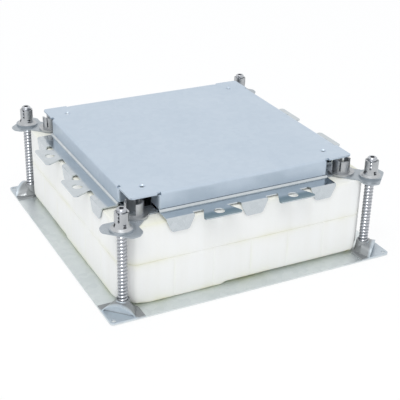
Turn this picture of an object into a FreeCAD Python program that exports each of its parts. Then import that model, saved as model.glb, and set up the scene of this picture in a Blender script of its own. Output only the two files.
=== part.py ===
"""Adjustable underfloor box: a square base plate with foam walls, four levelling spindles,
and a height-adjustable sheet frame that carries a lift-off mounting lid.

Millimetres, +Z up. The origin is the centre of the base plate's underside.
The front side faces -Y. Corner pieces are drawn for the back right corner and turned
to the other three. Side pieces are drawn for the front side and turned likewise.
"""
import FreeCAD, Part
import math
import os

V = FreeCAD.Vector
Z_AXIS = V(0, 0, 1)
ORIGIN = V(0, 0, 0)

# Overall sizes
base_side = 360.0
frame_level = 101.0          # top of the frame's flange above the floor

# Sheets
base_sheet = 1.5
foot_sheet = 1.5
frame_sheet = 1.5
plate_sheet = 1.5
lid_sheet = 2.0
bend_inner = 1.0             # inner radius of every bend

# Clearances
running_gap = 0.3            # between bodies that move on each other
snap_gap = 0.1               # round a nut where it snaps through its ear and washer
foam_gap = 0.5               # between the foam and the sheet beside it

# Base plate and corner feet
base_corner_r = 4.0
fixing_inset = 5.0           # from the base plate's edges
fixing_hole_d = 5.0
foot_side = 40.0
foot_rim = 0.5               # foot's edge behind the hood
foot_bevel = 0.9             # on the foot's edges that lie on the base plate
hood_lip = 14.4              # rim's crown, outward of the spindle axis
hood_lean = 2.6              # rim's crown ahead of the rim's feet
hood_wall_at = 9.5           # end wall's outer face, outward of the spindle axis
hood_room = 3.0              # from the spindle's head to the hood's back
hood_rim_rise = 12.7         # crowns above the foot's lower face: at the rim,
hood_shoulder_rise = 13.2    # over the spindle axis
hood_nose_rise = 2.5         # and at the back
hood_rim_half = 20.6         # half widths at the foot's lower face
hood_shoulder_half = 15.0
hood_nose_half = 9.0
collar_rise = 0.8            # collar's rim above the hood over the spindle axis
collar_wall = 1.7
collar_flare = 1.7           # extra radius at the collar's foot

# Spindles
spindle_inset = 23.0         # axes from the base plate's edges
spindle_d = 11.0
spindle_proud = 4.0          # top end above the nut
spindle_chamfer = 1.0
head_lip = 0.5               # head's edge beyond the rod
head_t = 1.8
drive_flats = 5.0
drive_depth = 6.0

# Foam walls
foam_margin = 22.0           # base plate left bare outside the foam
foam_thick = 36.0
foam_seam_rise = 51.0        # cut between the lower and upper strips, above the base plate
slit_pitch = 48.0
slit_w = 1.2
slit_deep = 6.0

# Flange rails
flange_w = 20.0              # from the lid's edge to the flaps' outer face
ledge_w = 21.0               # ledge inside the lid's edge
rail_setback = 33.0          # corner left open, from the lid's edge to the rail's end
tab_reach = 16.5             # tab's outer edge beyond the flaps
tab_pitch = 93.0
tab_root_w = 28.0
tab_outer_w = 50.0
tab_corner_r = 4.0
tab_hole_d = 12.0
tab_hole_reach = 4.0         # hole's centre beyond the flaps
notch_deep = 6.0             # notches beside the tabs, behind the flaps' outer face
flap_root_w = 33.0
flap_tip_w = 20.0
flap_tip_r = 4.0
flap_drop = 16.5             # from the flange's top to the flap's tip
bead_r = 3.0
bead_rise = 2.5

# Corner plates
ear_outer = 13.5             # ear's outer edge, outward of the spindle axis
ear_half_w = 23.0
ear_edge_half_w = 17.0
ear_lobe_out = 6.0
ear_lobe_in = 3.0
ear_neck_start = 12.0
ear_corner_r = 6.0
neck_half_w = 14.0
root_lap = 22.0              # length of a root strip under a rail's end
root_setback = 3.0           # root strips' outer edge inside the lid's edge

# Quick nuts and their washers
nut_wall = 2.1
nut_rise = 20.5              # nut's top above the corner plate
nut_flare = 4.0              # skirt's foot beyond the nut's body
nut_skirt_rise = 5.5
nut_waist_flare = 1.2        # skirt beyond the body at its waist
nut_waist_rise = 2.0
nut_slot_w = 2.0
nut_slot_floor = 8.5         # slots start this far above the washer
nut_window_w = 3.6           # windows between the slots
nut_window_sill = 2.6        # above the washer
nut_window_rise = 4.0
nut_slots = 4
nut_lip = 1.0                # snap lip beyond the nut's body
nut_lip_t = 1.0
washer_margin = 1.5          # washer's rim beyond the nut's skirt
washer_t = 2.0

# Corner sockets
socket_inset = 34.6          # socket's axis behind the spindle axis
socket_foot_d = 31.0
socket_foot_t = 2.0
socket_d = 21.0
socket_wall = 2.0
socket_rise = 16.5           # rim above the corner plate
socket_slot_w = 2.0
socket_mouth_w = 11.0
socket_slot_floor = 2.0      # slots start this far above the socket's foot

# Lid
lid_rise = 22.0              # lid's top above the flange's top
skirt_relief = 2.0
return_reach = 20.0          # skirt's turned-in ends, from the lid's edge
lid_corner_r = 4.0
lid_hole_d = 5.0
lid_sink_d = 8.0             # countersink at the lid's top
lid_hole_inset = 24.0        # from the lid's edges

# Places that follow from the sizes above: plan
base_half = base_side / 2
fixing_at = base_half - fixing_inset
spindle_at = base_half - spindle_inset
foam_face = base_half - foam_margin
flap_outer = foam_face + foam_gap + frame_sheet
tab_outer = flap_outer + tab_reach
tab_hole_at = flap_outer + tab_hole_reach
notch_root = flap_outer - notch_deep
tab_centre = tab_pitch / 2
lid_half = flap_outer - flange_w
ledge_inner = lid_half - ledge_w
rail_half = lid_half - rail_setback
flap_centre = rail_half - flap_root_w / 2
root_reach = rail_half - root_lap
root_outer = lid_half - root_setback
lid_hole_at = lid_half - lid_hole_inset

# Places that follow: levels
base_top = base_sheet
foam_seam = base_top + foam_seam_rise
plate_top = frame_level - frame_sheet
plate_bottom = plate_top - plate_sheet
foam_top = plate_bottom - running_gap
bead_top = frame_level + bead_rise
washer_top = plate_top + washer_t
nut_top = plate_top + nut_rise
spindle_top = nut_top + spindle_proud
lid_level = frame_level + lid_rise

# Diameters and reaches that follow
bore_d = spindle_d + 2 * running_gap
head_d = spindle_d + 2 * head_lip
nut_body_d = bore_d + 2 * nut_wall
nut_skirt_d = nut_body_d + 2 * nut_flare
nut_lip_d = nut_body_d + 2 * nut_lip
washer_d = nut_skirt_d + 2 * washer_margin
ear_hole_d = nut_body_d + 2 * snap_gap
hood_back = head_d / 2 + hood_room
foot_back = hood_back + foot_rim
foam_corner_back = foot_back + foam_gap

corner_turns = {"back_right": 0, "back_left": 90, "front_left": 180, "front_right": 270}
side_turns = {"front": 0, "right": 90, "back": 180, "left": 270}


def prism(points, bottom, height):
    """A solid from a closed outline in plan."""
    outline = Part.makePolygon([V(x, y, bottom) for x, y in points] + [V(*points[0], bottom)])
    return Part.Face(outline).extrude(V(0, 0, height))


def box(x0, x1, y0, y1, z0, z1):
    return Part.makeBox(x1 - x0, y1 - y0, z1 - z0, V(x0, y0, z0))


def drum(d, bottom, top, x=0.0, y=0.0):
    """An upright cylinder between two levels."""
    return Part.makeCylinder(d / 2, top - bottom, V(x, y, bottom))


def lathe(points):
    """A solid turned about Z from a closed outline of (radius, level) points."""
    outline = Part.makePolygon([V(r, 0, z) for r, z in points] + [V(points[0][0], 0, points[0][1])])
    return Part.Face(outline).revolve(ORIGIN, Z_AXIS, 360)


def rounded(solid, radius, wanted):
    """Round the upright edges whose middle (x, y) passes the wanted test."""
    edges = []
    for edge in solid.Edges:
        direction = edge.tangentAt(edge.FirstParameter)
        middle = edge.CenterOfMass
        if abs(direction.z) > 0.99 and wanted(middle.x, middle.y):
            edges.append(edge)
    return solid.makeFillet(radius, edges)


def turned(solid, degrees):
    copy = solid.copy()
    copy.rotate(ORIGIN, Z_AXIS, degrees)
    return copy


def to_corner(solid):
    """From (outward, across) about a spindle axis to the back right corner's place."""
    placed = turned(solid, 45)
    placed.translate(V(spindle_at, spindle_at, 0))
    return placed


def save(solid, name):
    solid.removeSplitter().exportStep("parts/" + name + ".step")


def save_corners(solid, name):
    for corner, degrees in corner_turns.items():
        save(turned(solid, degrees), name + "_" + corner)


def save_sides(solid, name):
    for side, degrees in side_turns.items():
        save(turned(solid, degrees), name + "_" + side)


def square(side, bottom, height):
    return box(-side / 2, side / 2, -side / 2, side / 2, bottom, bottom + height)


def base_plate():
    plate = rounded(square(base_side, 0, base_sheet), base_corner_r, lambda x, y: True)
    for x in (-fixing_at, fixing_at):
        for y in (-fixing_at, fixing_at):
            plate = plate.cut(drum(fixing_hole_d, 0, base_sheet, x, y))
    return plate


# The hood lies along the corner's diagonal. Its back is steep up to the spindle, and its roof
# falls gently from there to the rim, which leans outwards over an end wall that is set back.
def hood_section(foot, crown, half_width, rise, inset):
    """An arch across the hood. Foot and crown are outward of the spindle axis."""
    left = V(foot, inset - half_width, base_top)
    right = V(foot, half_width - inset, base_top)
    arch = Part.Arc(left, V(crown, 0, base_top + rise - inset), right)
    return Part.Wire([arch.toShape(), Part.LineSegment(right, left).toShape()])


def hood_form(inset):
    """The hood's solid, its skin moved inwards by the inset."""
    back = inset - hood_back
    return Part.makeLoft([
        hood_section(back, back, hood_nose_half, hood_nose_rise, inset),
        hood_section(0, 0, hood_shoulder_half, hood_shoulder_rise, inset),
        hood_section(hood_lip - hood_lean, hood_lip, hood_rim_half, hood_rim_rise, inset),
    ], True, True)


def corner_foot():
    """A sheet patch with its pressed hood and spindle collar."""
    low = base_half - foot_side
    high = base_half
    inner_sum = 2 * spindle_at - foot_back * math.sqrt(2)
    patch = prism(
        [(low, high), (low, inner_sum - low), (inner_sum - low, low), (high, low), (high, high)],
        base_top, foot_sheet)
    patch = rounded(patch, base_corner_r, lambda x, y: x + y > 2 * high - 1)
    inner_edges = [edge for edge in patch.Edges
                   if edge.CenterOfMass.z > base_top + foot_sheet - 0.01
                   and min(edge.CenterOfMass.x, edge.CenterOfMass.y) < low + 0.01]
    patch = patch.makeChamfer(foot_bevel, inner_edges)
    reach = foot_side
    floor = base_top + foot_sheet
    rim = base_top + hood_shoulder_rise + collar_rise
    collar_r = bore_d / 2 + collar_wall
    collar = lathe([(0, base_top), (collar_r + collar_flare, base_top), (collar_r, rim), (0, rim)])
    hood = hood_form(0).fuse(collar)
    skin = hood_form(foot_sheet)
    pocket = skin.common(box(-reach, hood_wall_at - foot_sheet, -reach, reach, base_top, rim))
    porch = skin.common(box(hood_wall_at, reach, -reach, reach, floor, rim))
    foot = patch.fuse(to_corner(hood))
    for space in (pocket, porch, drum(bore_d, base_top, rim)):
        foot = foot.cut(to_corner(space))
    return foot.cut(drum(fixing_hole_d, base_top, base_top + foot_sheet, fixing_at, fixing_at))


def spindle():
    """A rod that stands on the base plate, with a flat head under the hood."""
    foot = base_top + running_gap
    r = spindle_d / 2
    rod = lathe([(0, foot), (head_d / 2, foot), (head_d / 2, foot + head_t), (r, foot + head_t),
                 (r, spindle_top - spindle_chamfer), (r - spindle_chamfer, spindle_top),
                 (0, spindle_top)])
    corner_r = drive_flats / math.sqrt(3)
    hexagon = [(corner_r * math.cos(math.radians(60 * k)), corner_r * math.sin(math.radians(60 * k)))
               for k in range(6)]
    return to_corner(rod.cut(prism(hexagon, spindle_top - drive_depth, drive_depth)))


def foam_strip(bottom, top):
    """One side of the foam ring, mitred at the corners and chamfered behind the spindles."""
    outer = foam_face
    inner = outer - foam_thick
    chamfer_sum = 2 * spindle_at - foam_corner_back * math.sqrt(2)
    tip = chamfer_sum / 2
    end = chamfer_sum - outer
    outline = [(-inner, -inner), (-tip, -tip), (-end, -outer), (end, -outer), (tip, -tip),
               (inner, -inner)]
    return prism(outline, bottom, top - bottom)


def foam_lower():
    """The lower strip, slit from outside so that blocks break out for ducts."""
    strip = foam_strip(base_top, foam_seam)
    outer = foam_face
    count = int(2 * (foam_face - foam_thick) / slit_pitch)
    for k in range(count):
        x = (k - (count - 1) / 2) * slit_pitch
        strip = strip.cut(box(x - slit_w / 2, x + slit_w / 2, -outer, -outer + slit_deep,
                              base_top, foam_seam))
    return strip


def rail_plate():
    """The flat part of a rail: ledge, flange and dovetail anchor tabs."""
    half = rail_half
    bend_start = flap_outer - frame_sheet - bend_inner
    middle_half = flap_root_w / 2
    end_inner = flap_centre - flap_root_w / 2
    right = [(middle_half, bend_start), (middle_half, notch_root),
             (tab_centre - tab_root_w / 2, notch_root), (tab_centre - tab_outer_w / 2, tab_outer),
             (tab_centre + tab_outer_w / 2, tab_outer), (tab_centre + tab_root_w / 2, notch_root),
             (end_inner, notch_root), (end_inner, bend_start), (half, bend_start),
             (half, ledge_inner)]
    left = [(-s, d) for s, d in reversed(right)]
    plate = prism([(s, -d) for s, d in left + right], frame_level - frame_sheet, frame_sheet)
    plate = rounded(plate, tab_corner_r, lambda x, y: y < -tab_outer + 1)
    for x in (-tab_centre, tab_centre):
        plate = plate.cut(drum(tab_hole_d, frame_level - frame_sheet, frame_level, x, -tab_hole_at))
    return plate


def bent_strip(length, flange_start, outer, top, bottom, sheet):
    """A sheet bent down through a right angle, drawn in (depth, level) and run along X."""
    outer_r = bend_inner + sheet
    turn = outer - outer_r
    level = top - outer_r
    slant = math.sqrt(0.5)

    def at(d, z):
        return V(-length / 2, -d, z)

    outer_arc = Part.Arc(at(turn, top), at(turn + outer_r * slant, level + outer_r * slant),
                         at(outer, level))
    inner_arc = Part.Arc(at(outer - sheet, level),
                         at(turn + bend_inner * slant, level + bend_inner * slant),
                         at(turn, top - sheet))
    edges = [
        Part.LineSegment(at(flange_start, top), at(turn, top)).toShape(),
        outer_arc.toShape(),
        Part.LineSegment(at(outer, level), at(outer, bottom)).toShape(),
        Part.LineSegment(at(outer, bottom), at(outer - sheet, bottom)).toShape(),
        Part.LineSegment(at(outer - sheet, bottom), at(outer - sheet, level)).toShape(),
        inner_arc.toShape(),
        Part.LineSegment(at(turn, top - sheet), at(flange_start, top - sheet)).toShape(),
        Part.LineSegment(at(flange_start, top - sheet), at(flange_start, top)).toShape(),
    ]
    return Part.Face(Part.Wire(edges)).extrude(V(length, 0, 0))


def flap():
    """A bent-down flap that narrows to a rounded tip, about the middle of the front side."""
    tip = frame_level - flap_drop
    root = frame_level - frame_sheet - bend_inner
    strip = bent_strip(flap_root_w, notch_root, flap_outer, frame_level, tip, frame_sheet)
    half_root = flap_root_w / 2
    half_tip = flap_tip_w / 2
    outline = [(-half_root, frame_level), (-half_root, root), (-half_tip, tip), (half_tip, tip),
               (half_root, root), (half_root, frame_level)]
    closed = outline + outline[:1]
    face = Part.Face(Part.makePolygon([V(x, -flap_outer, z) for x, z in closed]))
    shape = face.extrude(V(0, flap_outer - notch_root, 0))
    tip_edges = [edge for edge in shape.Edges
                 if abs(edge.CenterOfMass.z - tip) < 0.01
                 and abs(abs(edge.CenterOfMass.x) - half_tip) < 0.01]
    return strip.common(shape.makeFillet(flap_tip_r, tip_edges))


def flange_rail():
    """A frame side: flat plate, three flaps and the bead that the lid's skirt stands on."""
    rail = rail_plate()
    for x in (-flap_centre, 0.0, flap_centre):
        piece = flap()
        piece.translate(V(x, 0, 0))
        rail = rail.fuse(piece)
    half = rail_half
    bead_at = lid_half - lid_sheet / 2
    start = V(-half, -bead_at, bead_top - bead_r)
    bead = Part.makeCylinder(bead_r, 2 * half, start, V(1, 0, 0))
    bead = bead.common(box(-half, half, -bead_at - bead_r, -bead_at + bead_r, plate_top, bead_top))
    groove = Part.makeCylinder(bead_r - frame_sheet, 2 * half, start, V(1, 0, 0))
    return rail.fuse(bead).cut(groove)


def corner_plate():
    """A diagonal ear on a neck, with root strips under the ends of two rails."""
    ear = prism([(ear_outer, -ear_edge_half_w), (ear_outer, ear_edge_half_w),
                 (ear_lobe_out, ear_half_w), (-ear_lobe_in, ear_half_w),
                 (-ear_neck_start, neck_half_w), (-ear_neck_start, -neck_half_w),
                 (-ear_lobe_in, -ear_half_w), (ear_lobe_out, -ear_half_w)],
                plate_bottom, plate_sheet)
    ear = rounded(ear, ear_corner_r, lambda x, y: x > -ear_neck_start + 1)
    neck_length = (spindle_at - ledge_inner) * math.sqrt(2) - neck_half_w
    neck = box(-neck_length, -ear_neck_start, -neck_half_w, neck_half_w, plate_bottom, plate_top)
    plate = to_corner(ear.fuse(neck))
    plate = plate.fuse(box(root_reach, root_outer, ledge_inner, root_outer, plate_bottom, plate_top))
    plate = plate.fuse(box(ledge_inner, root_outer, root_reach, root_outer, plate_bottom, plate_top))
    return plate.cut(drum(ear_hole_d, plate_bottom, plate_top, spindle_at, spindle_at))


def nut_washer():
    r = washer_d / 2
    hole_r = ear_hole_d / 2
    return to_corner(lathe([(hole_r, plate_top), (r, plate_top), (r, washer_top), (hole_r, washer_top)]))


def quick_nut():
    """A slotted sleeve with a flared skirt, snapped through the washer and the ear."""
    bore = bore_d / 2
    body = nut_body_d / 2
    skirt = nut_skirt_d / 2
    lip = nut_lip_d / 2
    top = nut_top
    lip_foot = plate_bottom - nut_lip_t
    sleeve = lathe([(bore, lip_foot), (lip, lip_foot), (lip, plate_bottom), (body, plate_bottom),
                    (body, washer_top), (skirt, washer_top),
                    (body + nut_waist_flare, washer_top + nut_waist_rise),
                    (body, washer_top + nut_skirt_rise),
                    (body, top), (bore, top)])
    floor = washer_top + nut_slot_floor
    slot = box(0, nut_body_d, -nut_slot_w / 2, nut_slot_w / 2, floor, top)
    half = nut_window_w / 2
    sill = washer_top + nut_window_sill
    window = box(0, nut_skirt_d, -half, half, sill, sill + nut_window_rise)
    step = 360.0 / nut_slots
    for k in range(nut_slots):
        sleeve = sleeve.cut(turned(slot, step * k)).cut(turned(window, step * (k + 0.5)))
    return to_corner(sleeve)


def corner_socket():
    """An open collar on a round foot, split by narrow slots and one wide mouth."""
    top = plate_top + socket_rise
    foot = drum(socket_foot_d, plate_top, plate_top + socket_foot_t)
    collar = foot.fuse(drum(socket_d, plate_top, top))
    collar = collar.cut(drum(socket_d - 2 * socket_wall, plate_top, top))
    floor = plate_top + socket_foot_t + socket_slot_floor
    for k, width in enumerate((socket_mouth_w, socket_slot_w, socket_slot_w, socket_slot_w)):
        slot = box(0, socket_d, -width / 2, width / 2, floor, top)
        collar = collar.cut(turned(slot, 90 * k))
    collar.translate(V(-socket_inset, 0, 0))
    return to_corner(collar)


def lid_skirt(bottom):
    """A skirt for the front side: a bent strip whose ends turn in round an upright bend."""
    outer_r = bend_inner + lid_sheet
    level = lid_level - outer_r
    front = -lid_half
    inner_half = rail_half - lid_sheet
    outside = box(-rail_half, rail_half, front, 0, bottom, level)
    outside = rounded(outside, outer_r, lambda x, y: y < front + 0.01)
    inside = box(-inner_half, inner_half, front + lid_sheet, 0, bottom, level)
    inside = rounded(inside, bend_inner, lambda x, y: y < front + lid_sheet + 0.01)
    reach = box(-rail_half, rail_half, front, front + return_reach, bottom, level)
    straight = 2 * (rail_half - outer_r)
    strip = bent_strip(straight, lid_half - 2 * outer_r, lid_half, lid_level, bottom, lid_sheet)
    return outside.cut(inside).common(reach).fuse(strip)


def lid():
    """A square sheet with a downturned skirt on each side, turned in at its ends."""
    half = lid_half
    outer_r = bend_inner + lid_sheet
    bottom = bead_top + running_gap
    sheet = rounded(square(2 * half, lid_level - lid_sheet, lid_sheet), lid_corner_r, lambda x, y: True)
    cut_half = rail_half + skirt_relief
    edge = box(-cut_half, cut_half, -half, -half + outer_r, lid_level - lid_sheet, lid_level)
    skirt = lid_skirt(bottom)
    for degrees in side_turns.values():
        sheet = sheet.cut(turned(edge, degrees)).fuse(turned(skirt, degrees))
    hole_r = lid_hole_d / 2
    sink_r = lid_sink_d / 2
    sink_floor = lid_level - (sink_r - hole_r)
    hole = lathe([(0, lid_level - lid_sheet), (hole_r, lid_level - lid_sheet), (hole_r, sink_floor),
                  (sink_r, lid_level), (0, lid_level)])
    hole.translate(V(lid_hole_at, lid_hole_at, 0))
    for degrees in side_turns.values():
        sheet = sheet.cut(turned(hole, degrees))
    return sheet


os.makedirs("parts", exist_ok=True)
save(base_plate(), "base_plate")
save_corners(corner_foot(), "corner_foot")
save_corners(spindle(), "spindle")
save_sides(foam_lower(), "foam_lower")
save_sides(foam_strip(foam_seam, foam_top), "foam_upper")
save_sides(flange_rail(), "flange_rail")
save_corners(corner_plate(), "corner_plate")
save_corners(nut_washer(), "nut_washer")
save_corners(quick_nut(), "quick_nut")
save_corners(corner_socket(), "corner_socket")
save(lid(), "lid")
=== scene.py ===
# %% [markdown]
# An adjustable underfloor box. A square base plate carries foam walls and four levelling
# spindles. A sheet frame hangs on the spindles' nuts, and a lift-off lid stands on the frame.
# All of it could be modelled here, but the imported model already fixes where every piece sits,
# in metres, so it is loaded first. Soft and threaded pieces are then made here, and the sheet
# and cast pieces get smooth bends and their finishes.

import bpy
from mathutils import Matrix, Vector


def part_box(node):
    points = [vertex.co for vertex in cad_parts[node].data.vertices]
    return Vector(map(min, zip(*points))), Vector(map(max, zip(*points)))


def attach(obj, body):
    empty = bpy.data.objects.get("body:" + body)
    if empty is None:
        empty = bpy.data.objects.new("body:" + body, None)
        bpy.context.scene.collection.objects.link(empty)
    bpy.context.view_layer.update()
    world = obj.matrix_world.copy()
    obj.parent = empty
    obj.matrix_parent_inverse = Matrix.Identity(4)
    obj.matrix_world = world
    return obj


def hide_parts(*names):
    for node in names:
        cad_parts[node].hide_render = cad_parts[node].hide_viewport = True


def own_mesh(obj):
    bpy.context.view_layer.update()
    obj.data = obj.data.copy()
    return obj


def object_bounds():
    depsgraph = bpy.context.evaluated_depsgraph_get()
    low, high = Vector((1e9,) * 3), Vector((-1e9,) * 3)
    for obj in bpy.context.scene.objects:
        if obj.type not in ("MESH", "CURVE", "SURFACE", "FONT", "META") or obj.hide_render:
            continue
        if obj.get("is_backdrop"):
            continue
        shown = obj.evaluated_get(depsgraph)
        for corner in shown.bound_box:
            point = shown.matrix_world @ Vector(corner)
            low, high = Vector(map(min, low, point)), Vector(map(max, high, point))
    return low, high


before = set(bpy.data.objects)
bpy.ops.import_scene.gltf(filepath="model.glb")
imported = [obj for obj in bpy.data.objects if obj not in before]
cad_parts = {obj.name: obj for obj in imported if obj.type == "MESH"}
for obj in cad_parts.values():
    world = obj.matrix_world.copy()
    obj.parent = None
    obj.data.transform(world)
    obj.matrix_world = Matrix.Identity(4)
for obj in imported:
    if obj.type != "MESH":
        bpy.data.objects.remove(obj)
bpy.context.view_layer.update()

# %% [markdown]
# Two tools serve every step. Colours are given as sRGB hex, while shaders want linear
# light, so one function turns the first into the second. Node trees could be wired by hand in
# the editor, but a script can be read and run again, so one function adds a node of any kind
# with its settings and links.

# %% Tools used throughout
import math

import bmesh
import bpy
import numpy as np
from mathutils import Matrix, Vector

MM = 0.001
scene = bpy.context.scene
scene.view_settings.view_transform = "Standard"


def linear(hex_colour):
    """A colour written as sRGB hex, as the linear values that a shader takes."""
    channels = [int(hex_colour[i:i + 2], 16) / 255 for i in (1, 3, 5)]
    curve = [c / 12.92 if c <= 0.04045 else ((c + 0.055) / 1.055) ** 2.4 for c in channels]
    return (*curve, 1.0)


def add_node(tree, kind, inputs=None, **settings):
    """A node with its settings. An input that is a socket is linked, any other is set."""
    node = tree.nodes.new(kind)
    for name, value in settings.items():
        setattr(node, name, value)
    for key, value in (inputs or {}).items():
        if isinstance(value, bpy.types.NodeSocket):
            tree.links.new(value, node.inputs[key])
        else:
            node.inputs[key].default_value = value
    return node


print("view transform", scene.view_settings.view_transform)

# %% [markdown]
# The camera stands where the photographer stood, in front and to the left, looking down at
# about 27 degrees. It could be turned by Euler angles. Three unit vectors are plainer when the
# view comes from matching known corners, because each says where a side of the picture points.

# %% Camera
CAMERA_PLACE = Vector((-0.4840, -0.9494, 0.5627))
CAMERA_RIGHT = Vector((0.89009, -0.45513, 0.02372))
CAMERA_UP = Vector((0.18496, 0.40830, 0.89392))
CAMERA_LENS = 84.86
SENSOR_WIDTH = 36.0

camera_data = bpy.data.cameras.new("camera")
camera_data.lens = CAMERA_LENS
camera_data.sensor_width = SENSOR_WIDTH
camera = bpy.data.objects.new("camera", camera_data)
scene.collection.objects.link(camera)
backward = CAMERA_RIGHT.cross(CAMERA_UP)
turn = Matrix((CAMERA_RIGHT, CAMERA_UP, backward)).transposed()
camera.matrix_world = Matrix.Translation(CAMERA_PLACE) @ turn.to_4x4()
scene.camera = camera
print("camera", [round(v, 3) for v in camera.location])

# %% [markdown]
# A pale studio: a wide white floor, an even sky and one soft lamp high at the left. A white
# card could hang behind the part, but its edge would show from other angles. Here the camera
# and the metal see floor and sky as white, so the background is clean from everywhere, while
# part of the floor stays an ordinary matt surface that keeps a faint shadow.

# %% Sky
SKY_STRENGTH = 0.9


def seen_by_eye(tree):
    """One for rays from the camera, a mirror or a glass, and nought for the rest."""
    path = add_node(tree, "ShaderNodeLightPath")
    pair = add_node(tree, "ShaderNodeMath", {0: path.outputs["Is Camera Ray"],
                                             1: path.outputs["Is Glossy Ray"]}, operation="MAXIMUM")
    both = add_node(tree, "ShaderNodeMath", {0: pair.outputs[0],
                                             1: path.outputs["Is Transmission Ray"]}, operation="MAXIMUM")
    return both.outputs[0]


world = bpy.data.worlds.new("studio_sky")
world.use_nodes = True
sky = world.node_tree
sky.nodes.clear()
sky_light = add_node(sky, "ShaderNodeBackground", {"Color": linear("#f4f7fb"), "Strength": SKY_STRENGTH})
sky_white = add_node(sky, "ShaderNodeBackground", {"Color": linear("#ffffff"), "Strength": 1.0})
sky_mix = add_node(sky, "ShaderNodeMixShader", {0: seen_by_eye(sky), 1: sky_light.outputs[0],
                                                2: sky_white.outputs[0]})
add_node(sky, "ShaderNodeOutputWorld", {"Surface": sky_mix.outputs[0]})
scene.world = world
print("sky", len(sky.nodes), "nodes")

# %% Floor
FLOOR_HALF = 8.0
FLOOR_DROP = 0.4 * MM
FLOOR_SHARE = 0.84
FLOOR_GLOW = 1.02

floor_paint = bpy.data.materials.new("studio_floor_paint")
floor_paint.use_nodes = True
paint = floor_paint.node_tree
paint.nodes.clear()
share = add_node(paint, "ShaderNodeMath", {0: seen_by_eye(paint), 1: FLOOR_SHARE}, operation="MULTIPLY")
matt = add_node(paint, "ShaderNodeBsdfDiffuse", {"Color": linear("#f6f6f6")})
glow = add_node(paint, "ShaderNodeEmission", {"Color": linear("#ffffff"), "Strength": FLOOR_GLOW})
paint_mix = add_node(paint, "ShaderNodeMixShader", {0: share.outputs[0], 1: matt.outputs[0],
                                                    2: glow.outputs[0]})
add_node(paint, "ShaderNodeOutputMaterial", {"Surface": paint_mix.outputs[0]})

floor_mesh = bpy.data.meshes.new("studio_floor")
floor_mesh.from_pydata([(x * FLOOR_HALF, y * FLOOR_HALF, -FLOOR_DROP)
                        for x, y in ((-1, -1), (1, -1), (1, 1), (-1, 1))], [], [(0, 1, 2, 3)])
floor_mesh.materials.append(floor_paint)
floor = bpy.data.objects.new("studio_floor", floor_mesh)
scene.collection.objects.link(floor)
floor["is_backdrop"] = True
print("studio floor", 2 * FLOOR_HALF, "m wide")

# %% Key lamp
LAMP_AIM = Vector((0.0, 0.0, 0.05))
KEY_PLACE = Vector((-0.8, -1.0, 2.3))
KEY_SIDE = 1.2
KEY_WATTS = 14.0


def soft_lamp(name, place, side, watts):
    """A square lamp that looks at the middle of the part."""
    lamp = bpy.data.lights.new(name, "AREA")
    lamp.shape = "RECTANGLE"
    lamp.size = side
    lamp.size_y = side
    lamp.energy = watts
    holder = bpy.data.objects.new(name, lamp)
    holder.location = place
    holder.rotation_euler = (LAMP_AIM - place).to_track_quat("-Z", "Y").to_euler()
    scene.collection.objects.link(holder)
    return holder


key_lamp = soft_lamp("key_lamp", KEY_PLACE, KEY_SIDE, KEY_WATTS)
print("key lamp", key_lamp.data.energy, "W")

# %% [markdown]
# Hot-dip galvanised sheet. The zinc freezes in flat crystals, so the surface is a soft mirror
# whose brightness and polish change a little from crystal to crystal. A painted picture could
# show that, but a rule has no edges and needs no unwrapping: crystals are Voronoi cells with
# wandering edges, and a slow cloud lies over them, as rolling leaves it.
#
# The tabs and the hoods are darker than the sheet beside them, and that darkness is painted:
# on the tabs a painted reflection of the darker skirt above them, on the hoods painted shade on
# the flanks and in a band under the rim. It starts and is full at two distances from the middle
# of the box, along one direction in plan. Faces that look outwards along that direction, such as
# a hood's end wall, are left out of it and read as lit, which is painted light.

# %% Painted shade on the sheet
# Faces that look outwards by more than the first value are left lit, as painted light; below the second
# value they take the full painted shade.
LIT_FACING = 0.85
SHADED_FACING = 0.6


def painted_shade_share(tree, coordinates, way, start, full):
    """How much painted shade lies on a face: one where it is full and nought where the face is left lit.
    """
    quarter = add_node(tree, "ShaderNodeVectorMath", {0: coordinates["Object"]}, operation="ABSOLUTE")
    reach = add_node(tree, "ShaderNodeVectorMath", {0: quarter.outputs[0], 1: way},
                     operation="DOT_PRODUCT")
    in_shade = add_node(tree, "ShaderNodeMapRange", {"Value": reach.outputs["Value"], "From Min": start,
                                                    "From Max": full})
    signs = add_node(tree, "ShaderNodeVectorMath", {0: coordinates["Object"]}, operation="SIGN")
    mirrored = add_node(tree, "ShaderNodeVectorMath", {0: coordinates["Normal"], 1: signs.outputs[0]},
                        operation="MULTIPLY")
    outward = add_node(tree, "ShaderNodeVectorMath", {0: mirrored.outputs[0], 1: way},
                       operation="DOT_PRODUCT")
    unlit_facing = add_node(tree, "ShaderNodeMapRange", {"Value": outward.outputs["Value"],
                                                     "From Min": LIT_FACING,
                                                     "From Max": SHADED_FACING})
    left = add_node(tree, "ShaderNodeMath", {0: in_shade.outputs[0], 1: unlit_facing.outputs[0]},
                    operation="MULTIPLY")
    return left.outputs[0]


SPINDLE_AT = sum(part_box("spindle_back_right"), Vector()).x / 2
HOOD_REACH = 14.4 * MM
HOOD_RIM_AT = math.sqrt(2) * SPINDLE_AT + HOOD_REACH
ACROSS = (0.0, 1.0, 0.0)
TO_CORNER = (math.sqrt(0.5), math.sqrt(0.5), 0.0)
NO_PAINTED_SHADE = ("#ffffff", ACROSS, 0.0, 1.0)
# Painted reflection: the tabs get a darker tint for the dark skirt that they mirror.
TAB_PAINTED_REFLECTION = ("#b4c3c6", ACROSS, 160.5 * MM, 166.0 * MM)
# Painted shade on the hoods: flanks, roof and a band of plate under the rim are darkened, while the end
# wall that faces the corner stays lit.
HOOD_PAINTED_SHADE = ("#c2bdb9", TO_CORNER, HOOD_RIM_AT - 2.4 * MM, HOOD_RIM_AT - 5.2 * MM)
print("hood rims", round(HOOD_RIM_AT / MM, 1), "mm from the middle, along the diagonal")

# %% Galvanised sheet
WARP_SCALE = 150.0
WANDER = 5.0 * MM
CLOUD_SCALE = 14.0


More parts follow.
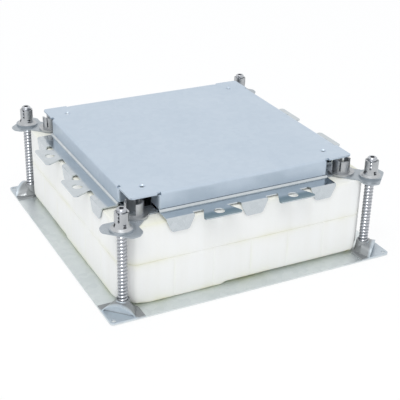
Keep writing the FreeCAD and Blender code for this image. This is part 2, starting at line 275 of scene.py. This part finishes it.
def galvanised_sheet(name, dark, light, polish, spangle_mm, spangle_share, painted_shade=NO_PAINTED_SHADE, metal=1.0):
    """A sheet's finish. Polish is the roughness of its brightest and of its dullest crystals."""
    shade_tint, *shade_place = painted_shade
    material = bpy.data.materials.new(name)
    material.use_nodes = True
    tree = material.node_tree
    shader = tree.nodes["Principled BSDF"]
    coordinates = add_node(tree, "ShaderNodeTexCoord").outputs
    place = coordinates["Object"]
    warp = add_node(tree, "ShaderNodeTexNoise", {"Vector": place, "Scale": WARP_SCALE, "Detail": 3.0})
    wander = add_node(tree, "ShaderNodeVectorMath", {0: warp.outputs["Color"], 1: (WANDER,) * 3},
                      operation="MULTIPLY")
    moved = add_node(tree, "ShaderNodeVectorMath", {0: place, 1: wander.outputs[0]}, operation="ADD")
    crystal = add_node(tree, "ShaderNodeTexVoronoi",
                       {"Vector": moved.outputs[0], "Scale": 1.0 / (spangle_mm * MM)})
    crystal_grey = add_node(tree, "ShaderNodeSeparateColor", {0: crystal.outputs["Color"]})
    cloud = add_node(tree, "ShaderNodeTexNoise", {"Vector": place, "Scale": CLOUD_SCALE, "Detail": 5.0})
    mixed = add_node(tree, "ShaderNodeMix", {"Factor": spangle_share, "A": cloud.outputs[0],
                                             "B": crystal_grey.outputs[0]})
    tint = add_node(tree, "ShaderNodeMix", {"Factor": mixed.outputs[0], "A": linear(dark),
                                            "B": linear(light)}, data_type="RGBA")
    # The darker tint multiplied in here is painted shade and painted reflection, not a coating on the
    # zinc.
    shade_left = painted_shade_share(tree, coordinates, *shade_place)
    shaded = add_node(tree, "ShaderNodeMix", {"Factor": shade_left, "A": tint.outputs["Result"],
                                              "B": linear(shade_tint)},
                      data_type="RGBA", blend_type="MULTIPLY")
    rough = add_node(tree, "ShaderNodeMapRange", {"Value": mixed.outputs[0], "To Min": polish[1],
                                                  "To Max": polish[0]})
    tree.links.new(shaded.outputs["Result"], shader.inputs["Base Color"])
    tree.links.new(rough.outputs[0], shader.inputs["Roughness"])
    shader.inputs["Metallic"].default_value = metal
    return material


base_zinc = galvanised_sheet("galvanised_base_sheet", "#d1d8da", "#e8edee", (0.34, 0.46), 7.0, 0.3)
foot_zinc = galvanised_sheet("galvanised_foot_sheet", "#acb6be", "#c6cfd5", (0.26, 0.36), 6.0, 0.25,
                             painted_shade=HOOD_PAINTED_SHADE, metal=0.4)
frame_zinc = galvanised_sheet("galvanised_frame_sheet", "#bac2c7", "#d3d9dd", (0.12, 0.2), 6.0, 0.25,
                              painted_shade=TAB_PAINTED_REFLECTION)
plate_zinc = galvanised_sheet("galvanised_corner_plate", "#9ca4aa", "#b6bdc3", (0.24, 0.34), 6.0, 0.25,
                              metal=0.5)
lid_zinc = galvanised_sheet("galvanised_lid_sheet", "#bac8d6", "#c8d4e0", (0.34, 0.44), 7.0, 0.25,
                            metal=0.6)
for finish in (base_zinc, foot_zinc, frame_zinc, plate_zinc, lid_zinc):
    print(finish.name, len(finish.node_tree.nodes), "nodes")

# %% [markdown]
# The nuts and sockets are die-cast zinc: a dull grey skin, grainy from the mould, with no
# crystals. The spindles are rolled steel with zinc plating, smoother than either. Grain could
# be cut into the mesh, but it is finer than any point there, so it is bump. The colour turns
# darker towards the bottom of the thread's groove, so the spindles' mesh carries an attribute
# that is one there. A mesh without it reads nought and keeps its plain tint, and one rule serves
# both metals.

# %% Cast zinc and plated steel
STAIN_SCALE = 90.0
GRAIN_STRENGTH = 0.6
GROOVE_DARK_TINT = "#85888d"


def plain_zinc(name, dark, light, polish, grain_mm, grain_depth_mm, metal):
    """A grainy finish without crystals. Polish is its lowest and its highest roughness."""
    material = bpy.data.materials.new(name)
    material.use_nodes = True
    tree = material.node_tree
    shader = tree.nodes["Principled BSDF"]
    place = add_node(tree, "ShaderNodeTexCoord").outputs["Object"]
    grain = add_node(tree, "ShaderNodeTexNoise", {"Vector": place, "Scale": 1.0 / (grain_mm * MM),
                                                  "Detail": 4.0})
    stain_and_shade_noise = add_node(tree, "ShaderNodeTexNoise", {"Vector": place, "Scale": STAIN_SCALE, "Detail": 3.0})
    tint = add_node(tree, "ShaderNodeMix", {"Factor": stain_and_shade_noise.outputs[0], "A": linear(dark),
                                            "B": linear(light)}, data_type="RGBA")
    groove = add_node(tree, "ShaderNodeAttribute", attribute_name="groove").outputs["Fac"]
    # The colour turns darker towards the bottom of the thread's groove.
    groove_darkened = add_node(tree, "ShaderNodeMix", {"Factor": groove, "A": tint.outputs["Result"],
                                             "B": linear(GROOVE_DARK_TINT)}, data_type="RGBA")
    rough = add_node(tree, "ShaderNodeMapRange", {"Value": grain.outputs[0], "To Min": polish[0],
                                                  "To Max": polish[1]})
    bump = add_node(tree, "ShaderNodeBump", {"Height": grain.outputs[0], "Distance": grain_depth_mm * MM,
                                             "Strength": GRAIN_STRENGTH})
    tree.links.new(groove_darkened.outputs["Result"], shader.inputs["Base Color"])
    tree.links.new(rough.outputs[0], shader.inputs["Roughness"])
    tree.links.new(bump.outputs[0], shader.inputs["Normal"])
    shader.inputs["Metallic"].default_value = metal
    return material


cast_zinc = plain_zinc("die_cast_zinc", "#a6a9ac", "#c8cacc", (0.26, 0.42), 1.2, 0.10, 0.8)
plated_steel = plain_zinc("zinc_plated_steel", "#a9acb2", "#c6c9ce", (0.2, 0.3), 2.0, 0.03, 1.0)
for finish in (cast_zinc, plated_steel):
    print(finish.name, len(finish.node_tree.nodes), "nodes")

# %% [markdown]
# The foam is an open-cell block cut with a saw: off-white and quite matt. Seams, slits and the
# foot get a yellow tint, which is painted shade, and along the foot also a painted reflection of
# the base plate. The tint could be found from the mesh's hollows, but a foot and a slit take it
# differently, so the mesh carries an attribute that is one at a seam and fades away from it.
# Saw marks stand upright, and pores dot the whole face. Real pores are finer than a pixel here,
# so they are drawn about three times too coarse.

# %% Cut foam
SAW_STRETCH = (1.0, 1.0, 0.06)
SAW_SCALE = 110.0
PORE = 1.4 * MM
PORE_SHARE = 0.35
PATCH_SCALE = 22.0
FOAM_RELIEF = 0.5 * MM


def cut_foam():
    material = bpy.data.materials.new("open_cell_foam")
    material.use_nodes = True
    tree = material.node_tree
    shader = tree.nodes["Principled BSDF"]
    place = add_node(tree, "ShaderNodeTexCoord").outputs["Object"]
    upright = add_node(tree, "ShaderNodeMapping", {"Vector": place, "Scale": SAW_STRETCH})
    saw = add_node(tree, "ShaderNodeTexNoise", {"Vector": upright.outputs[0], "Scale": SAW_SCALE,
                                                "Detail": 4.0})
    pores = add_node(tree, "ShaderNodeTexVoronoi", {"Vector": place, "Scale": 1.0 / PORE})
    foam_shade = add_node(tree, "ShaderNodeAttribute", attribute_name="foam_shade").outputs["Fac"]
    stain_and_shade_noise = add_node(tree, "ShaderNodeTexNoise", {"Vector": place, "Scale": PATCH_SCALE, "Detail": 3.0})
    patchy = add_node(tree, "ShaderNodeMapRange", {"Value": stain_and_shade_noise.outputs[0], "From Min": 0.3,
                                                   "From Max": 0.7})
    painted_shade_amount = add_node(tree, "ShaderNodeMath", {0: foam_shade, 1: patchy.outputs[0]}, operation="MULTIPLY")
    plain_foam = add_node(tree, "ShaderNodeMix", {"Factor": saw.outputs[0], "A": linear("#f8f7f2"),
                                             "B": linear("#fefefc")}, data_type="RGBA")
    # The yellow mixed in here is painted shade, and along the foot also a painted reflection of the base
    # plate.
    shaded_foam = add_node(tree, "ShaderNodeMix", {"Factor": painted_shade_amount.outputs[0], "A": plain_foam.outputs["Result"],
                                            "B": linear("#e6e3b2")}, data_type="RGBA")
    height = add_node(tree, "ShaderNodeMath", {0: pores.outputs["Distance"], 1: PORE_SHARE,
                                               2: saw.outputs[0]}, operation="MULTIPLY_ADD")
    bump = add_node(tree, "ShaderNodeBump", {"Height": height.outputs[0], "Distance": FOAM_RELIEF,
                                             "Strength": 0.5})
    tree.links.new(shaded_foam.outputs["Result"], shader.inputs["Base Color"])
    tree.links.new(bump.outputs[0], shader.inputs["Normal"])
    shader.inputs["Roughness"].default_value = 0.95
    shader.inputs["Specular IOR Level"].default_value = 0.2
    return material


foam_white = cut_foam()
print(foam_white.name, len(foam_white.node_tree.nodes), "nodes")

# %% [markdown]
# Sheet and cast pieces already have the right shape in the frame. Their meshes are loose
# triangles, which shade as flat facets. They could be modelled again, but that would only
# repeat the frame, so each one with bends or bores is shown by a welded copy, whose rounds
# shade smoothly while its cut edges stay crisp. The base plate is flat and stays as it is.

# %% Welded copies of the sheet and cast pieces
CREASE = math.radians(32.0)
WELD = 0.002 * MM
CORNERS = ("back_right", "back_left", "front_left", "front_right")
SIDES = ("front", "right", "back", "left")


def shade_smooth(mesh):
    mesh.polygons.foreach_set("use_smooth", [True] * len(mesh.polygons))
    mesh.set_sharp_from_angle(angle=CREASE)


def add_piece(name, mesh, material, body, slot, *nodes):
    """A finished mesh as a piece that rides on a body and stands for CAD nodes."""
    mesh.materials.clear()
    mesh.materials.append(material)
    piece = bpy.data.objects.new(name, mesh)
    scene.collection.objects.link(piece)
    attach(piece, body)
    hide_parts(*nodes)
    return piece


def welded_copy(node, material, body, slot):
    shell = bmesh.new()
    shell.from_mesh(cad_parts[node].data)
    bmesh.ops.remove_doubles(shell, verts=shell.verts, dist=WELD)
    shell.verts.index_update()
    points = [vert.co.copy() for vert in shell.verts]
    faces = [[vert.index for vert in face.verts] for face in shell.faces]
    shell.free()
    mesh = bpy.data.meshes.new("shown_" + node)
    mesh.from_pydata(points, [], faces)
    shade_smooth(mesh)
    return add_piece("shown_" + node, mesh, material, body, slot, node)


for corner in CORNERS:
    welded_copy("corner_foot_" + corner, foot_zinc, "base", "base_sheet")
    welded_copy("corner_plate_" + corner, plate_zinc, "frame", "frame_sheet")
    welded_copy("nut_washer_" + corner, plate_zinc, "frame", "frame_sheet")
    welded_copy("quick_nut_" + corner, cast_zinc, "frame", "cast_zinc")
    welded_copy("corner_socket_" + corner, cast_zinc, "frame", "cast_zinc")
for side in SIDES:
    welded_copy("flange_rail_" + side, frame_zinc, "frame", "frame_sheet")
shown_lid = welded_copy("lid", lid_zinc, "lid", "lid_sheet")
base_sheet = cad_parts["base_plate"]
base_sheet.data.materials.clear()
base_sheet.data.materials.append(base_zinc)
print("lid", len(shown_lid.data.polygons), "faces after welding")

# %% [markdown]
# Each spindle is a rod with a coarse round thread. The thread could be a screw modifier on a
# drawn profile, but a real one is squeezed into a plain blank between rollers, and the mesh is
# made the same way: rings of points make a blank, and a small Geometry Nodes tree presses the
# groove in by rule, from each point's height and its angle round the rod. A right-hand groove
# climbs one pitch in each turn to the left.

# %% Thread roller
THREAD_PITCH = 4.2 * MM
THREAD_DEPTH = 0.55 * MM
GROOVE_DARK_POWER = 3.0


def thread_roller():
    tree = bpy.data.node_groups.new("thread_roller", "GeometryNodeTree")
    sockets = tree.interface
    sockets.new_socket("Geometry", in_out="INPUT", socket_type="NodeSocketGeometry")
    sockets.new_socket("Axis", in_out="INPUT", socket_type="NodeSocketVector")
    sockets.new_socket("Pitch", in_out="INPUT", socket_type="NodeSocketFloat")
    sockets.new_socket("Depth", in_out="INPUT", socket_type="NodeSocketFloat")
    sockets.new_socket("Metal", in_out="INPUT", socket_type="NodeSocketMaterial")
    sockets.new_socket("Geometry", in_out="OUTPUT", socket_type="NodeSocketGeometry")
    given = add_node(tree, "NodeGroupInput").outputs
    point = add_node(tree, "GeometryNodeInputPosition").outputs[0]
    arm = add_node(tree, "ShaderNodeVectorMath", {0: point, 1: given["Axis"]}, operation="SUBTRACT")
    along = add_node(tree, "ShaderNodeSeparateXYZ", {0: arm.outputs[0]}).outputs
    angle = add_node(tree, "ShaderNodeMath", {0: along["Y"], 1: along["X"]}, operation="ARCTAN2")
    climb = add_node(tree, "ShaderNodeMath", {0: along["Z"], 1: given["Pitch"]}, operation="DIVIDE")
    climb_angle = add_node(tree, "ShaderNodeMath", {0: climb.outputs[0], 1: 2 * math.pi},
                           operation="MULTIPLY")
    phase = add_node(tree, "ShaderNodeMath", {0: climb_angle.outputs[0], 1: angle.outputs[0]},
                     operation="SUBTRACT")
    wave = add_node(tree, "ShaderNodeMath", {0: phase.outputs[0]}, operation="COSINE")
    groove = add_node(tree, "ShaderNodeMath", {0: wave.outputs[0], 1: -0.5, 2: 0.5},
                      operation="MULTIPLY_ADD")
    rolled = add_node(tree, "GeometryNodeInputNamedAttribute", {"Name": "rolled"}, data_type="FLOAT")
    pressed = add_node(tree, "ShaderNodeMath", {0: groove.outputs[0], 1: rolled.outputs["Attribute"]},
                       operation="MULTIPLY")
    bottom = add_node(tree, "ShaderNodeMath", {0: pressed.outputs[0], 1: GROOVE_DARK_POWER}, operation="POWER")
    depth = add_node(tree, "ShaderNodeMath", {0: pressed.outputs[0], 1: given["Depth"]},
                     operation="MULTIPLY")
    outward = add_node(tree, "ShaderNodeCombineXYZ", {"X": along["X"], "Y": along["Y"]})
    unit = add_node(tree, "ShaderNodeVectorMath", {0: outward.outputs[0]}, operation="NORMALIZE")
    inward = add_node(tree, "ShaderNodeMath", {0: depth.outputs[0], 1: -1.0}, operation="MULTIPLY")
    step = add_node(tree, "ShaderNodeVectorMath", {0: unit.outputs[0], "Scale": inward.outputs[0]},
                    operation="SCALE")
    marked = add_node(tree, "GeometryNodeStoreNamedAttribute",
                      {"Geometry": given["Geometry"], "Name": "groove", "Value": bottom.outputs[0]},
                      data_type="FLOAT", domain="POINT")
    moved = add_node(tree, "GeometryNodeSetPosition", {"Geometry": marked.outputs[0],
                                                       "Offset": step.outputs[0]})
    whole = add_node(tree, "GeometryNodeRealizeInstances", {"Geometry": moved.outputs[0]})
    coated = add_node(tree, "GeometryNodeSetMaterial", {"Geometry": whole.outputs[0],
                                                        "Material": given["Metal"]})
    add_node(tree, "NodeGroupOutput", {"Geometry": coated.outputs[0]})
    return tree


def run_nodes(piece, tree, **values):
    """Runs a tree once on a piece and keeps the result as a plain mesh."""
    modifier = piece.modifiers.new(tree.name, "NODES")
    modifier.node_group = tree
    for item in tree.interface.items_tree:
        if item.in_out == "INPUT" and item.name in values:
            modifier[item.identifier] = values[item.name]
    graph = bpy.context.evaluated_depsgraph_get()
    mesh = bpy.data.meshes.new_from_object(piece.evaluated_get(graph))
    piece.modifiers.remove(modifier)
    return mesh


roller = thread_roller()
print("thread pitch", THREAD_PITCH, "depth", THREAD_DEPTH)

# %% [markdown]
# The blank is a stack of rings with the same count of points: the flat head that sits under
# the hood, the rod, a chamfered tip and the walls of the hexagonal drive. A cylinder with a
# hole cut by a boolean would do, but a stack of rings has even faces all the way. The attribute
# "rolled" is one along the thread and fades out at both ends, as a rolled thread does.

# %% Spindles
ROD_POINTS = 48
RING_STEP = THREAD_PITCH / 12
ROD_R = 5.5 * MM
HEAD_R = 6.0 * MM
HEAD_T = 1.8 * MM
NECK = 0.4 * MM
TIP_CHAMFER = 1.0 * MM
DRIVE_HALF_FLATS = 2.5 * MM
DRIVE_DEPTH = 6.0 * MM
RUN_OUT = 3.0 * MM


def spindle_rings(bottom, top):
    """Rings as (level, radius, whether a hexagon, share of thread), from head to drive."""
    rings = [(bottom, HEAD_R, 0, 0), (bottom + HEAD_T, HEAD_R, 0, 0), (bottom + HEAD_T, ROD_R, 0, 0)]
    start = bottom + HEAD_T + NECK
    end = top - TIP_CHAMFER
    count = int((end - start) / RING_STEP)
    for k in range(count + 1):
        level = start + (end - start) * k / count
        fade = min(level - start, end - level) / RUN_OUT
        rings.append((level, ROD_R, 0, min(1.0, fade)))
    rings.append((top, ROD_R - TIP_CHAMFER, 0, 0))
    rings.append((top, DRIVE_HALF_FLATS, 1, 0))
    rings.append((top - DRIVE_DEPTH, DRIVE_HALF_FLATS, 1, 0))
    return rings


def spindle_blank(axis, rings):
    points, rolled = [], []
    for level, radius, hexagon, thread in rings:
        for k in range(ROD_POINTS):
            angle = 2 * math.pi * k / ROD_POINTS
            off_flat = (angle + math.pi / 6) % (math.pi / 3) - math.pi / 6
            reach = radius / math.cos(off_flat) if hexagon else radius
            points.append((axis.x + reach * math.cos(angle), axis.y + reach * math.sin(angle), level))
            rolled.append(thread)
    faces = [tuple(reversed(range(ROD_POINTS)))]
    for ring in range(len(rings) - 1):
        low = ring * ROD_POINTS
        for k in range(ROD_POINTS):
            after = (k + 1) % ROD_POINTS
            faces.append((low + k, low + after, low + ROD_POINTS + after, low + ROD_POINTS + k))
    last = (len(rings) - 1) * ROD_POINTS
    faces.append(tuple(range(last, last + ROD_POINTS)))
    mesh = bpy.data.meshes.new("blank")
    mesh.from_pydata(points, [], faces)
    mesh.attributes.new("rolled", "FLOAT", "POINT").data.foreach_set("value", rolled)
    return mesh


for corner in CORNERS:
    node = "spindle_" + corner
    rod_low, rod_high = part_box(node)
    axis = (rod_low + rod_high) / 2
    axis.z = 0.0
    rings = spindle_rings(rod_low.z, rod_high.z)
    blank = bpy.data.objects.new("blank", spindle_blank(axis, rings))
    scene.collection.objects.link(blank)
    rolled_mesh = run_nodes(blank, roller, Axis=axis, Pitch=THREAD_PITCH, Depth=THREAD_DEPTH,
                            Metal=plated_steel)
    bpy.data.objects.remove(blank)
    rolled_mesh.name = "threaded_" + node
    shade_smooth(rolled_mesh)
    add_piece("threaded_" + node, rolled_mesh, plated_steel, node, "spindle", node)
    print(node, len(rolled_mesh.polygons), "faces")

# %% [markdown]
# The foam walls are soft: edges are rounded, blocks bulge a little and no two stand quite
# alike. A cloth or soft-body run could give that, but it is slow to steer for a block that only
# sags by half a millimetre. So a rule moves every point of the outer face inwards: a round at
# the top and bottom, a groove at each slit, a slow wave, and a foot cut back by hand.

# %% Foam rules
SLIT_PITCH = 48.0 * MM
SLITS = [k * SLIT_PITCH for k in range(-2, 3)]
NICKS = {"front": (-34.0 * MM, 1), "right": (28.0 * MM, 1),
         "back": (-10.0 * MM, -1), "left": (-19.0 * MM, -1)}
NICK_BLUR = 3.0 * MM
NICK_HEIGHT = 5.0 * MM
WAVES = ((31, 0, 1.7, 1.0), (73, 40, 2.9, 1.0), (140, -55, 4.1, 0.6))
WAVE_SHARE = 0.19


def round_off(distance, radius):
    """How far a rounded edge stands back, at a distance from the edge."""
    inside = min(max(radius - distance, 0.0), radius)
    return radius - math.sqrt(radius ** 2 - inside ** 2)


def ramp(value, start, stop):
    """From nought at start to one at stop, without a kink at either end."""
    done = min(max((value - start) / (stop - start), 0.0), 1.0)
    return done * done * (3 - 2 * done)


def slow_wave(s, z, seed):
    """A bulge of the outer face, between nought and about one."""
    total = sum(size * math.sin(along * s + up * z + shift * seed) for along, up, shift, size in WAVES)
    return 0.5 + WAVE_SHARE * total


def nick(side, s, rise):
    """How much of the foot was cut back by hand, along part of each side."""
    place, sign = NICKS[side]
    return ramp((s - place) * sign, -NICK_BLUR, NICK_BLUR) * (1 - ramp(rise, 0.0, NICK_HEIGHT))


print("slits at", [round(s / MM) for s in SLITS], "mm from the middle of each side")

# %% [markdown]
# Each strip is a stack of closed outlines in plan. Cubes with a bevel and a subdivision would
# be quicker, but their points wouldn't lie where a slit or a seam needs them. An outline runs
# along the outer face, round the two cut corners and back along the inside. Its stations and
# levels crowd together at slits and edges.

# %% Foam outline
FOAM_FACE = 158.0 * MM
FOAM_BACK = 122.0 * MM
FOAM_CUT = 10.0 * MM
CORNER_ROUND = 3.0 * MM
CHAMFER_SUM = 2 * SPINDLE_AT - FOAM_CUT * math.sqrt(2)
FOAM_END = CHAMFER_SUM - FOAM_FACE
STATIONS = 81
STATION_GAP = 1.2 * MM
NEAR_SLIT = (-3, -1.8, -1.0, -0.5, 0, 0.5, 1.0, 1.8, 3)
NEAR_EDGE = (0.0, 0.3, 0.8, 1.5, 2.4, 3.6, 5.0)
PLAIN_FROM = 8.0 * MM
PLAIN_LEVELS = 10


def outer_stations():
    """Places along the outer face, close together round each slit."""
    end = FOAM_END - CORNER_ROUND
    near = [s + off * MM for s in SLITS for off in NEAR_SLIT]
    spaced = [s for s in np.linspace(-end, end, STATIONS) if all(abs(s - n) > STATION_GAP for n in near)]
    return sorted(spaced + near)


def corner_bend():
    """The cut corner in plan, from the outer face to the middle of the corner."""
    start = Vector((FOAM_END - CORNER_ROUND, FOAM_FACE))
    knee = Vector((FOAM_END, FOAM_FACE))
    stop = knee + Vector((1, -1)).normalized() * CORNER_ROUND
    tip = Vector((CHAMFER_SUM / 2, CHAMFER_SUM / 2))
    bend = [(1 - a) ** 2 * start + 2 * a * (1 - a) * knee + a * a * stop for a in (0.25, 0.5, 0.75, 1.0)]
    return bend + [stop.lerp(tip, 0.5), tip]


def strip_rises(height):
    """Levels of the outlines above the strip's foot, close together at both edges."""
    close = [v * MM for v in NEAR_EDGE]
    middle = list(np.linspace(PLAIN_FROM, height - PLAIN_FROM, PLAIN_LEVELS))
    return sorted(close + middle + [height - v for v in close])


print("outer face", len(outer_stations()), "stations, cut corner", len(corner_bend()), "points")

# %% [markdown]
# The rules now act on the outline. Each point also gets a mark, from nought to one, for how
# much yellow painted shade lies there: most at the foot on the base plate, where it also paints
# the plate's reflection, less at the seams and slits. Painting it by hand would do, but the same
# distances are already known here.

# %% Foam outline with its marks
BULGE = 0.5 * MM
SLIT_DEPTH = 0.5 * MM
SLIT_SPREAD = 1.3 * MM
NICK_DEPTH = 4.0 * MM
SEAM_ROUND = 0.6 * MM
FOOT_ROUND = 3.0 * MM
CORNER_FOOT_ROUND = 8.0 * MM
CORNER_FOOT_RUN = 18.0 * MM
CORNER_SHARE = 0.7
CORNER_GAP = 0.3 * MM
SKIN = 0.15 * MM
# Strength and spread of the painted shade at slits and seams, and of the painted shade and reflection at
# the foot.
SLIT_PAINTED_SHADE = 0.18
SEAM_PAINTED_SHADE = (0.42, 3.5 * MM)
FOOT_SHADE_AND_REFLECTION = (0.9, 4.5 * MM)


def fading(mark, distance):
    strength, spread = mark
    return strength * math.exp(-distance / spread)


def strip_outline(side, rise, height, level, slit, seed):
    """One closed outline in plan, as (along, out, mark). Slit strips stand on the base plate."""
    edge_painted_shade = max(fading(SEAM_PAINTED_SHADE, height - rise), fading(FOOT_SHADE_AND_REFLECTION if slit else SEAM_PAINTED_SHADE, rise))
    top_round = round_off(height - rise, SEAM_ROUND)
    face = []
    for s in outer_stations():
        foot_round = SEAM_ROUND
        back = BULGE * slow_wave(s, level, seed)
        mark = edge_painted_shade
        if slit:
            gap = min(abs(s - place) for place in SLITS)
            cut = nick(side, s, rise)
            foot_round = FOOT_ROUND + (CORNER_FOOT_ROUND - FOOT_ROUND) * ramp(
                abs(s), FOAM_END - CORNER_FOOT_RUN, FOAM_END)
            back += SLIT_DEPTH * math.exp(-(gap / SLIT_SPREAD) ** 2) + NICK_DEPTH * cut
            # Painted shade also fills the slits and the nick cut into the foot.
            mark = max(mark, SLIT_PAINTED_SHADE * math.exp(-gap / SLIT_SPREAD), cut)
        back += round_off(rise, foot_round) + top_round
        face.append((s, FOAM_FACE - back, mark))
    back = CORNER_SHARE * (round_off(rise, CORNER_FOOT_ROUND if slit else SEAM_ROUND) + top_round)
    right = [(p.x - back, p.y - back - CORNER_GAP, edge_painted_shade) for p in corner_bend()]
    left = [(-s, d, mark) for s, d, mark in reversed(right)]
    return face + right + [(FOAM_BACK - SKIN, FOAM_BACK, 0), (SKIN - FOAM_BACK, FOAM_BACK, 0)] + left


print("foot marks fade over", round(FOOT_SHADE_AND_REFLECTION[1] / MM, 1), "mm, seams over", round(SEAM_PAINTED_SHADE[1] / MM, 1))

# %% [markdown]
# Outlines are drawn for the front strip and turned to the other three sides. As the frame comes
# down, the real foam is pressed together; the strips here are not squashed with it.

# %% Foam strips
SIDE_TURN = {"front": 0, "right": 90, "back": 180, "left": 270}


def foam_strip(name, side, bottom, top, slit, seed):
    turn = Matrix.Rotation(math.radians(SIDE_TURN[side]), 3, "Z")
    height = top - bottom
    points, shade_marks = [], []
    for rise in strip_rises(height):
        outline = strip_outline(side, rise, height, bottom + rise, slit, seed)
        points += [turn @ Vector((s, -d, bottom + rise)) for s, d, mark in outline]
        shade_marks += [mark for s, d, mark in outline]
    count = len(outline)
    faces = [tuple(reversed(range(count))), tuple(range(len(points) - count, len(points)))]
    for low in range(0, len(points) - count, count):
        for k in range(count):
            after = (k + 1) % count
            faces.append((low + k, low + after, low + count + after, low + count + k))
    mesh = bpy.data.meshes.new(name)
    mesh.from_pydata(points, [], faces)
    mesh.attributes.new("foam_shade", "FLOAT", "POINT").data.foreach_set("value", shade_marks)
    shade_smooth(mesh)
    return mesh


for number, side in enumerate(SIDES):
    for kind, slit in (("foam_lower_", True), ("foam_upper_", False)):
        low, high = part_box(kind + side)
        seed = number + len(SIDES) * slit
        mesh = foam_strip("soft_" + kind + side, side, low.z, high.z, slit, seed)
        strip = add_piece("soft_" + kind + side, mesh, foam_white, "base", "foam", kind + side)
        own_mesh(strip)

# %% [markdown]
# The threads glint in a lamp that stands low at the photographer's left. The flanks of a
# shallow thread are steep, and they throw a low lamp up to the camera. The flat lid would throw
# that lamp back as one white sheet when seen from behind. A smaller lamp would only make the
# glints harder, so light linking lets it fall on the spindles and feet alone.

# %% Glint lamp
GLINT_PLACE = Vector((-1.4, -1.7, 0.5))
GLINT_SIDE = 0.9
GLINT_WATTS = 20.0

glinting = bpy.data.collections.new("glinting_pieces")
for corner in CORNERS:
    for kind in ("threaded_spindle_", "shown_corner_foot_"):
        glinting.objects.link(bpy.data.objects[kind + corner])
glint_lamp = soft_lamp("glint_lamp", GLINT_PLACE, GLINT_SIDE, GLINT_WATTS)
glint_lamp.light_linking.receiver_collection = glinting

# %% [markdown]
# The visual model's box is measured and printed, since a look at the render would miss a
# millimetre. The visual model must stay inside the box of the imported one.

# %% Size
low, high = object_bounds()
print("visual box", [round(v, 4) for v in high - low])
